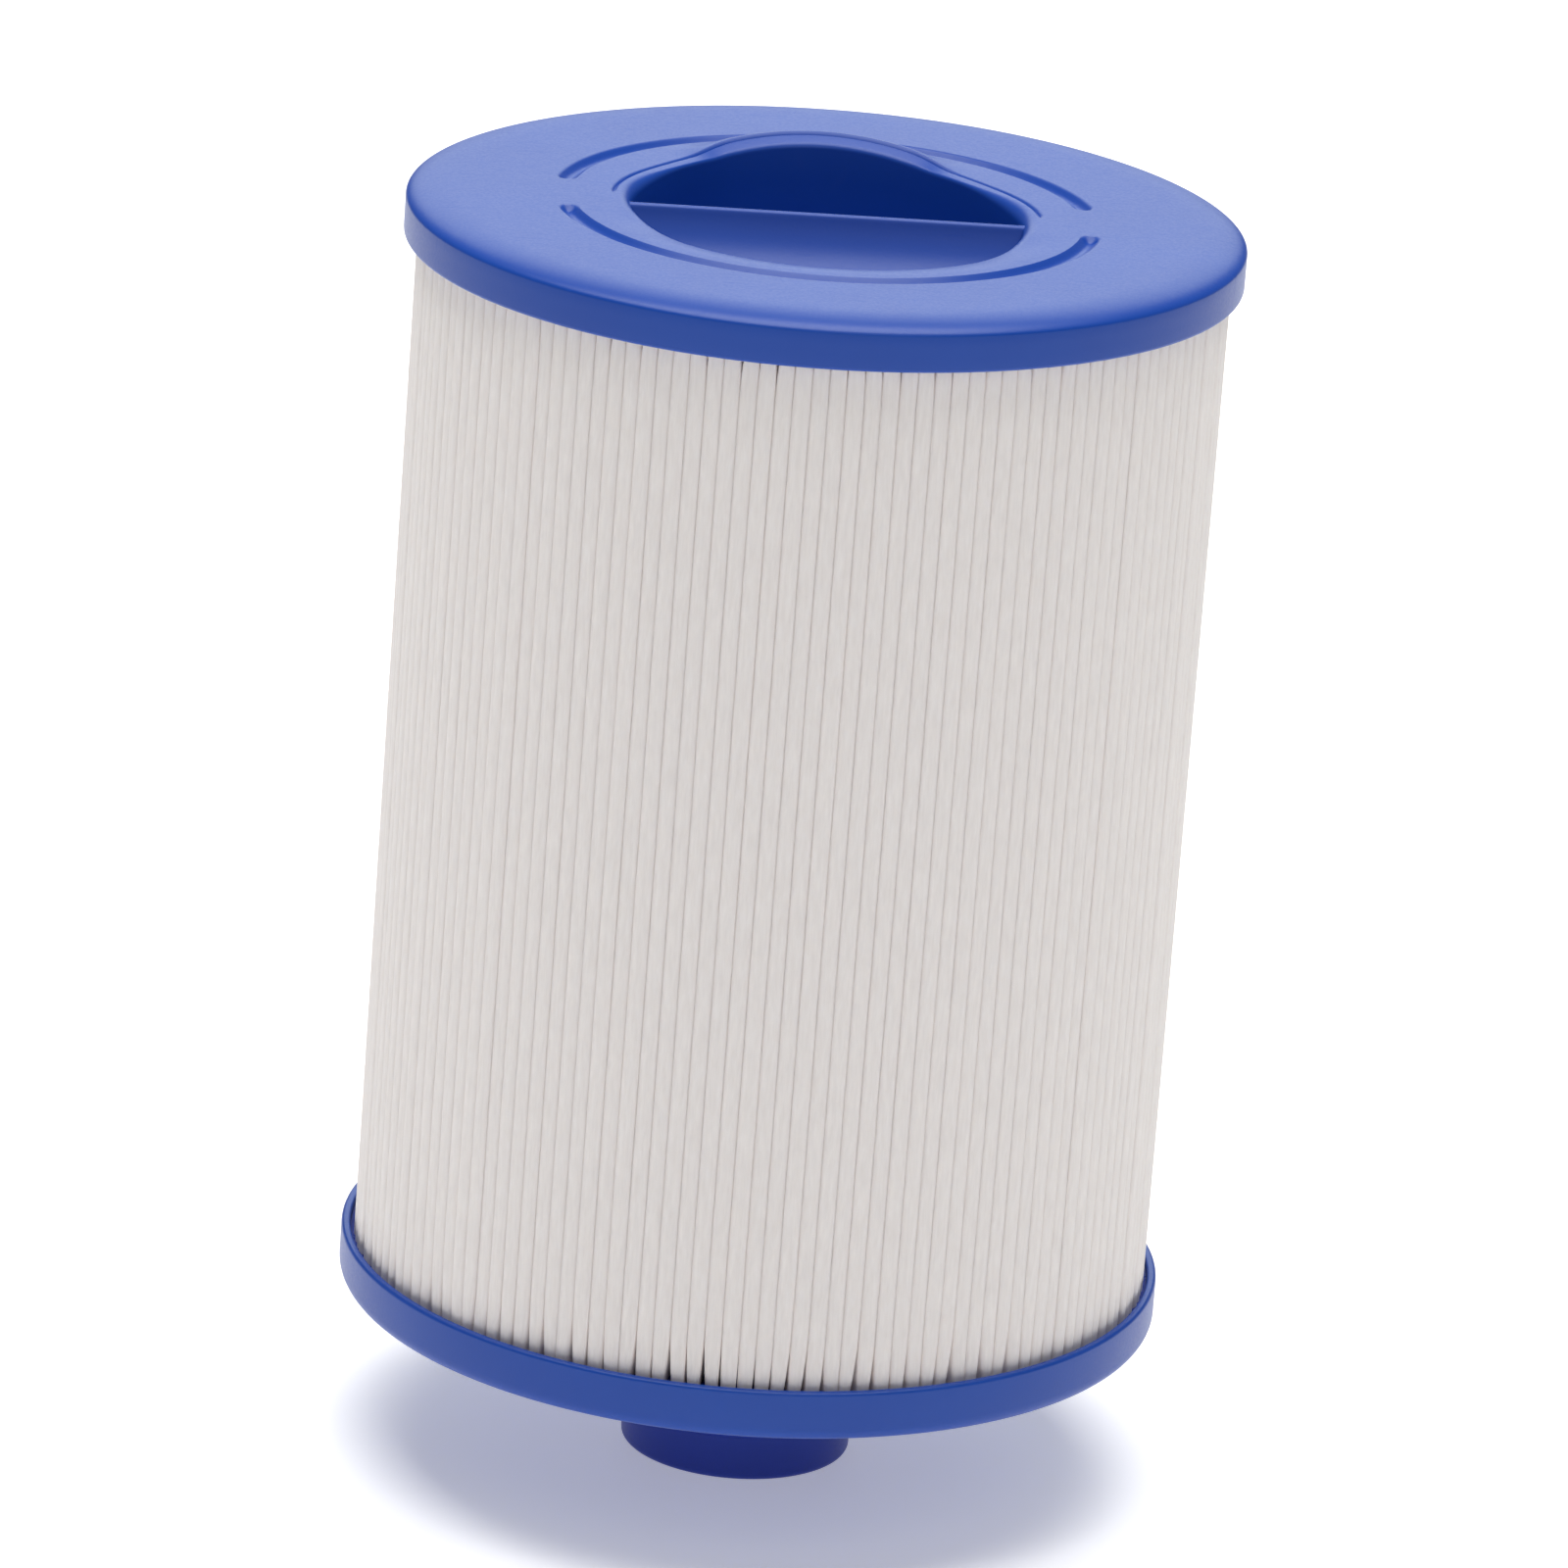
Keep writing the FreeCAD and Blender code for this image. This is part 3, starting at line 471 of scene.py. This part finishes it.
crest_fall = put(pleat_tree, "ShaderNodeMath", {0: given["Crest bulge"], 1: crest_bend}, operation="MULTIPLY")
leg_and_crest = put(pleat_tree, "ShaderNodeMath", {0: leg, 1: leg_reach, 2: crest_fall},
                    operation="MULTIPLY_ADD")
root_sine = put(pleat_tree, "ShaderNodeMath", {0: root_turn}, operation="SINE")
fall = put(pleat_tree, "ShaderNodeMath", {0: given["Root half width"], 1: root_sine, 2: leg_and_crest},
           operation="MULTIPLY_ADD")
reach = put(pleat_tree, "ShaderNodeMath", {0: crest_r, 1: fall}, operation="SUBTRACT")

# Distance from the pleat's middle: out round the crest, in along the leg and on round the root.
root_circle = put(pleat_tree, "ShaderNodeMath", {0: given["Root radius"], 1: math.pi}, operation="MULTIPLY")
root_pitch = put(pleat_tree, "ShaderNodeMath", {0: root_circle, 1: given["Pleats"]}, operation="DIVIDE")
root_start = put(pleat_tree, "ShaderNodeMath", {0: root_pitch, 1: given["Root half width"]},
                 operation="SUBTRACT")
leg_shift = put(pleat_tree, "ShaderNodeMath", {0: root_start, 1: half_width}, operation="SUBTRACT")
crest_sine = put(pleat_tree, "ShaderNodeMath", {0: crest_turn}, operation="SINE")
crest_aside = put(pleat_tree, "ShaderNodeMath", {0: half_width, 1: crest_sine}, operation="MULTIPLY")
leg_aside = put(pleat_tree, "ShaderNodeMath", {0: leg, 1: leg_shift, 2: crest_aside},
                operation="MULTIPLY_ADD")
root_cosine = put(pleat_tree, "ShaderNodeMath", {0: root_turn}, operation="COSINE")
root_bend = put(pleat_tree, "ShaderNodeMath", {0: 1.0, 1: root_cosine}, operation="SUBTRACT")
aside = put(pleat_tree, "ShaderNodeMath", {0: given["Root half width"], 1: root_bend, 2: leg_aside},
            operation="MULTIPLY_ADD")
aside_here = put(pleat_tree, "ShaderNodeMath", {0: aside, 1: side, 2: shift}, operation="MULTIPLY_ADD")

# Bend the folded strip into a ring, its seam at the rear, and note each point's place on the flat sheet.
offset = put(pleat_tree, "ShaderNodeMath", {0: aside_here, 1: reach}, operation="DIVIDE")
turn_share = put(pleat_tree, "ShaderNodeMath", {0: number, 1: given["Pleats"]}, operation="DIVIDE")
middle = put(pleat_tree, "ShaderNodeMath", {0: turn_share, 1: 2.0 * math.pi, 2: math.pi / 2.0},
             operation="MULTIPLY_ADD")
bearing = put(pleat_tree, "ShaderNodeMath", {0: middle, 1: offset}, operation="ADD")
cosine = put(pleat_tree, "ShaderNodeMath", {0: bearing}, operation="COSINE")
sine = put(pleat_tree, "ShaderNodeMath", {0: bearing}, operation="SINE")
ring_x = put(pleat_tree, "ShaderNodeMath", {0: reach, 1: cosine}, operation="MULTIPLY")
ring_y = put(pleat_tree, "ShaderNodeMath", {0: reach, 1: sine}, operation="MULTIPLY")
spread = put(pleat_tree, "ShaderNodeCombineXYZ", {0: ring_x, 1: ring_y, 2: height})
flat_x = put(pleat_tree, "ShaderNodeMath", {0: along, 1: PLEAT_LENGTH}, operation="MULTIPLY")
flat_y = put(pleat_tree, "ShaderNodeMath", {0: height, 1: MM}, operation="DIVIDE")
unrolled = put(pleat_tree, "ShaderNodeCombineXYZ", {0: flat_x, 1: flat_y})
marked = put(pleat_tree, "GeometryNodeStoreNamedAttribute", {"Geometry": grid, "Name": "sheet", 3: unrolled},
             data_type="FLOAT_VECTOR")
folded = put(pleat_tree, "GeometryNodeSetPosition", {"Geometry": marked, "Position": spread})
solid = put(pleat_tree, "GeometryNodeRealizeInstances", {0: folded})
coat = put(pleat_tree, "GeometryNodeSetMaterial", {"Geometry": solid, "Material": given["Material"]})
put(pleat_tree, "NodeGroupOutput", {0: coat})

pleat_values = {"Pleats": float(PLEATS), "Crest radius": (CREST_R - SHEET / 2.0) * MM,
                "Root radius": (ROOT_R + SHEET / 2.0) * MM, "Crest half width": CREST_HALF * MM,
                "Crest bulge": CREST_BULGE * MM, "Root half width": ROOT_HALF * MM, "Bottom": media_low * MM,
                "Top": media_high * MM, "End pinch": 0.68, "Bunching": 0.7 * MM, "Wander": 0.5 * MM,
                "Material": polyester}
media_mesh = evaluated(bpy.data.meshes.new("sheet"), pleat_tree, pleat_values)
set_shape(media_mesh, 80.0)
media = place(media_mesh, polyester, "pleated_sheet", "white_filter_sheet", "pleated_media")
thickness = media.modifiers.new("thickness", "SOLIDIFY")
thickness.thickness = SHEET * MM
thickness.offset = 0.0

# ---------------------------------------------------------------- top cap
# The upper ABS moulding, in the same blue: a flat deck that falls away softly to a short skirt, and a finger
# pocket with an upright blade to grip. A broken ring groove runs round the pocket, and a lip rises behind
# it. The adhesive under the deck holds it on the pleats.
POCKET_R = 35.6
POCKET_DEPTH = 24.0
FRONT_DEPTH = 13.0
POCKET_DRAFT = math.tan(math.radians(4.0))
POCKET_WALL = 2.0
POCKET_RIM = 2.6
SKIRT_DROP = 8.8
EDGE_RUN = 9.4
EDGE_FALL = 2.2
ROLL_START = 45.0
ROLL_R = 26.0
BLADE_HALF = 0.6
BLADE_SINK = 1.2
BLADE_DRAFT = math.tan(math.radians(8.0))
FRONT_SLOPE = math.tan(math.radians(20.0))
BLADE_ROUND = 0.55
COVE = 10.8
COVE_REACH = 10.0
LIP_START = 30.0
LIP_TILT = math.tan(math.radians(21.3))
LIP_EDGE_R = 39.6
LIP_FOOT_R = 46.4
LIP_ROUND = 0.8
GROOVE_R = 48.2
GROOVE_HALF = 1.9
GROOVE_DEPTH = 1.1
GROOVE_GAP = math.radians(13.0)
CREASE_R = 38.9
CREASE_HALF = 0.5
CREASE_START = math.radians(3.0)
POINTED = 0.12
FLOOR_ROUND = 3.0
DECK_STEP = 0.32
COLUMNS = 560
cap_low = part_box("top_cap")[0].z / MM
deck = cap_low + POCKET_DEPTH + POCKET_WALL
skirt_low = deck - SKIRT_DROP


def step(value, start, end):
    """Smooth step from 0 at start to 1 at end."""
    t = min(1.0, max(0.0, (value - start) / (end - start)))
    return t * t * (3.0 - 2.0 * t)


floor_z = deck - POCKET_DEPTH
front_share = (FRONT_DEPTH - POCKET_RIM) / (POCKET_DEPTH - POCKET_RIM)
floor_r = POCKET_R - POCKET_DEPTH * POCKET_DRAFT
soft_edge = []
for k in range(19):
    bend = math.radians(5.0 * k)
    run, fall = EDGE_RUN * (1.0 - math.sin(bend)), EDGE_FALL * (1.0 - math.cos(bend))
    soft_edge.append((CAP_R - run, deck - fall, 0.0))
cap_outline = rounded([
    (0.0, floor_z, 0.0), (floor_r, floor_z, FLOOR_ROUND), (POCKET_R, deck, POCKET_RIM), *soft_edge,
    (CAP_R, skirt_low, 0.7), (CAP_R - WALL, skirt_low, 0.5), (CAP_R - WALL, deck - PLATE, 1.0),
    (POCKET_R + POCKET_WALL, deck - PLATE, 0.0), (floor_r + POCKET_WALL, floor_z - POCKET_WALL, FLOOR_ROUND),
    (0.0, floor_z - POCKET_WALL, 0.0)])
finer = []
for (r0, z0), (r1, z1) in zip(cap_outline, cap_outline[1:]):
    on_deck = z0 > deck - 0.01 and z1 > deck - 0.01
    stretch = fine([(r0, z0), (r1, z1)], DECK_STEP if on_deck else 2.5)
    finer += stretch[:-1]
cap_outline = []
for r, z in finer + [(0.0, floor_z - POCKET_WALL)]:
    plain_deck = z > deck - 0.01 and r > GROOVE_R + GROOVE_HALF + 1.0
    if plain_deck and cap_outline and math.hypot(r - cap_outline[-1][0], z - cap_outline[-1][1]) < 1.5:
        continue
    cap_outline.append((r, z))
cap_mesh = lathe("cap", cap_outline, COLUMNS, closed=False)

# The turned shape is then bent point by point. The front half of the pocket is made shallower and the deck
# rolls down to it, the pocket's rear corners are drawn in, the lip rises, and the groove and the crease
# are sunk.
top_of_wall = deck - POCKET_RIM
front_floor = deck - FRONT_DEPTH
for vert in cap_mesh.vertices:
    x, y, z = (value / MM for value in vert.co)
    r = math.hypot(x, y)
    if y < -0.01 and z < top_of_wall and r < POCKET_R + POCKET_WALL + 0.1:
        vert.co.z = (top_of_wall - (top_of_wall - z) * front_share) * MM
    if y > 0.0 and r < LIP_FOOT_R:
        y *= 1.0 - POINTED * step(abs(x), 16.0, 35.0) * (1.0 - step(r, CREASE_R + 1.0, LIP_FOOT_R))
        vert.co.y = y * MM
    rearward = y / max(r, 0.001)
    if y < 0.0 and r < ROLL_START:
        roll = ROLL_R - math.sqrt(ROLL_R ** 2 - min(ROLL_START - r, ROLL_START - POCKET_R) ** 2)
        share = min(1.0, max(0.0, (vert.co.z / MM - front_floor) / (top_of_wall - front_floor)))
        vert.co.z -= roll * share * step(-rearward, 0.2, 0.75) * MM
    z = vert.co.z / MM
    if z < top_of_wall - 2.0 or r > GROOVE_R + GROOVE_HALF + 2.0:
        continue
    if r < POCKET_R + POCKET_RIM:
        crisp = 1.0 - (1.0 - LIP_ROUND / POCKET_RIM) * step(rearward, 0.15, 0.7)
        squeeze = (POCKET_R + (r - POCKET_R) * crisp) / r
        x, y, r, z = x * squeeze, y * squeeze, r * squeeze, deck + (z - deck) * crisp
    slope = LIP_TILT * (min(r, LIP_EDGE_R) * rearward - LIP_START)
    lift = 0.5 * (slope + math.sqrt(slope * slope + 0.5)) * step(slope, -5.0, -1.0)
    lift *= 1.0 - step(r, LIP_EDGE_R - 0.2, LIP_FOOT_R)
    past_end = GROOVE_R * max(0.0, GROOVE_GAP - abs(math.asin(rearward)))
    groove = max(0.0, 1.0 - ((r - GROOVE_R) ** 2 + past_end ** 2) / GROOVE_HALF ** 2) ** 1.5
    crease = max(0.0, 1.0 - abs(r - CREASE_R) / CREASE_HALF)
    crease *= step(math.asin(rearward), CREASE_START - 0.02, CREASE_START + 0.05)
    vert.co = Vector((x, y, z + lift - GROOVE_DEPTH * groove - CREASE_HALF * crease)) * MM

# The blade is a stack of loops from the pocket's floor to its rounded top edge. Its rear face is nearly
# upright, and its front face slopes and hollows out to the floor of the front pocket.
blade_mesh = bpy.data.meshes.new("blade")
bm = bmesh.new()
blade_top = deck - BLADE_SINK
loops = []


def front_face(height_mm):
    """Distance of the blade's hollow front face from the middle plane at a height."""
    sunk = front_floor + COVE - height_mm
    curve = min(1.0, max(0.0, sunk / COVE)) if height_mm > front_floor - 0.5 else 0.0
    hollow = COVE_REACH * (1.0 - math.sqrt(1.0 - curve * curve))
    return BLADE_HALF + (blade_top - max(height_mm, front_floor)) * FRONT_SLOPE + hollow


heights = [floor_z - 1.0, floor_z + 3.0, front_floor - 1.0]
heights += [front_floor + COVE * (1.0 - math.cos(math.radians(7.5 * k))) for k in range(13)]
heights.append(blade_top - BLADE_ROUND)
insets = [0.0] * len(heights)
for k in range(1, 6):
    bend = math.pi / 2.0 * k / 5.0
    heights.append(blade_top - BLADE_ROUND + BLADE_ROUND * math.sin(bend))
    insets.append(BLADE_ROUND * (1.0 - math.cos(bend)))
for height_mm, inset in zip(heights, insets):
    half = BLADE_HALF + (blade_top - height_mm) * BLADE_DRAFT - inset
    wall_r = POCKET_R - (deck - height_mm) * POCKET_DRAFT + POCKET_WALL / 2.0
    loop = []
    for face_y, way in ((inset - front_face(height_mm), 1.0), (half, -1.0)):
        end = math.sqrt(wall_r * wall_r - face_y * face_y)
        for k in range(25):
            loop.append(bm.verts.new((way * (k / 12.0 - 1.0) * end * MM, face_y * MM, height_mm * MM)))
    loops.append(loop)
for low, high in zip(loops, loops[1:]):
    for k in range(len(low)):
        n = (k + 1) % len(low)
        bm.faces.new((low[k], low[n], high[n], high[k]))
bm.faces.new(loops[-1])
bm.faces.new(list(reversed(loops[0])))
bmesh.ops.recalc_face_normals(bm, faces=bm.faces)
bm.to_mesh(blade_mesh)
bm.free()

# Cap and blade are one moulding, so they are joined to one skin.
cap_shape = bpy.data.objects.new("cap_shape", cap_mesh)
blade_shape = bpy.data.objects.new("blade_shape", blade_mesh)
for shape in (cap_shape, blade_shape):
    bpy.context.scene.collection.objects.link(shape)
union = cap_shape.modifiers.new("union", "BOOLEAN")
union.object = blade_shape
union.operation = "UNION"
union.solver = "EXACT"
bpy.context.view_layer.update()
joined = bpy.data.meshes.new_from_object(cap_shape.evaluated_get(bpy.context.evaluated_depsgraph_get()))
bpy.data.objects.remove(cap_shape)
bpy.data.objects.remove(blade_shape)
set_shape(joined, 30.0)
place(joined, cap_plastic, "grip_cap", "blue_cap_plastic", "top_cap")

# ---------------------------------------------------------------- floor, light and camera
# A plain pale studio: a faintly lit white floor, a large soft light overhead, a weak one in front, and a
# low one behind that puts the pale sheen on the deck.
FLOOR_HALF = 6.0
floor_mesh = bpy.data.meshes.new("floor")
floor_mesh.from_pydata([(-FLOOR_HALF, -FLOOR_HALF, 0.0), (FLOOR_HALF, -FLOOR_HALF, 0.0),
                        (FLOOR_HALF, FLOOR_HALF, 0.0), (-FLOOR_HALF, FLOOR_HALF, 0.0)], [], [(0, 1, 2, 3)])
paper = bpy.data.materials.new("white_studio_paper")
paper.use_nodes = True
paper_shader = paper.node_tree.nodes["Principled BSDF"]
paper_shader.inputs["Base Color"].default_value = linear("#f6f6f5")
paper_shader.inputs["Roughness"].default_value = 0.9
paper_shader.inputs["Emission Color"].default_value = linear("#fffefd")
paper_shader.inputs["Emission Strength"].default_value = 0.32
floor_mesh.materials.append(paper)
studio_floor = bpy.data.objects.new("studio_floor", floor_mesh)
bpy.context.scene.collection.objects.link(studio_floor)

world = bpy.data.worlds.new("soft_room")
world.use_nodes = True
world.node_tree.nodes["Background"].inputs["Color"].default_value = linear("#fdfcfb")
world.node_tree.nodes["Background"].inputs["Strength"].default_value = 0.16
bpy.context.scene.world = world
bpy.context.scene.view_settings.view_transform = "Standard"


def soft_light(name, location, aim, size, power):
    """Large square area light pointed at a spot."""
    lamp = bpy.data.lights.new(name, "AREA")
    lamp.shape = "SQUARE"
    lamp.size = size
    lamp.energy = power
    holder = bpy.data.objects.new(name, lamp)
    bpy.context.scene.collection.objects.link(holder)
    holder.location = location
    direction = [a - b for a, b in zip(aim, location)]
    holder.rotation_euler = Vector(direction).to_track_quat("-Z", "Y").to_euler()
    return holder


MIDDLE = (0.0, 0.0, 0.13)
soft_light("overhead_light", (-0.1, 0.3, 3.6), MIDDLE, 3.2, 172.0)
soft_light("front_light", (0.5, -2.0, 1.9), MIDDLE, 1.2, 6.0)
sheen = soft_light("sheen_light", (0.1, 2.6, 1.15), MIDDLE, 1.5, 11.5)
sheen.data.color = (0.92, 1.0, 1.0)

CAMERA_TURN = math.radians(-3.3)
CAMERA_TILT = math.radians(18.21)
CAMERA_ROLL = math.radians(4.35)
CAMERA_AWAY = 1.785
CAMERA_RISE = 0.4773
CAMERA_LENS = 234.5
camera_data = bpy.data.cameras.new("camera")
camera_data.sensor_width = 36.0
camera_data.lens = CAMERA_LENS
camera_data.clip_end = 50.0
camera = bpy.data.objects.new("camera", camera_data)
bpy.context.scene.collection.objects.link(camera)
stand = Matrix.Translation((0.0, -CAMERA_AWAY, deck * MM + CAMERA_RISE))
where = Matrix.Rotation(CAMERA_TURN, 4, "Z") @ stand
look = Matrix.Rotation(math.pi / 2.0 - CAMERA_TILT, 4, "X")
camera.matrix_world = where @ look @ Matrix.Rotation(CAMERA_ROLL, 4, "Z")
bpy.context.scene.camera = camera
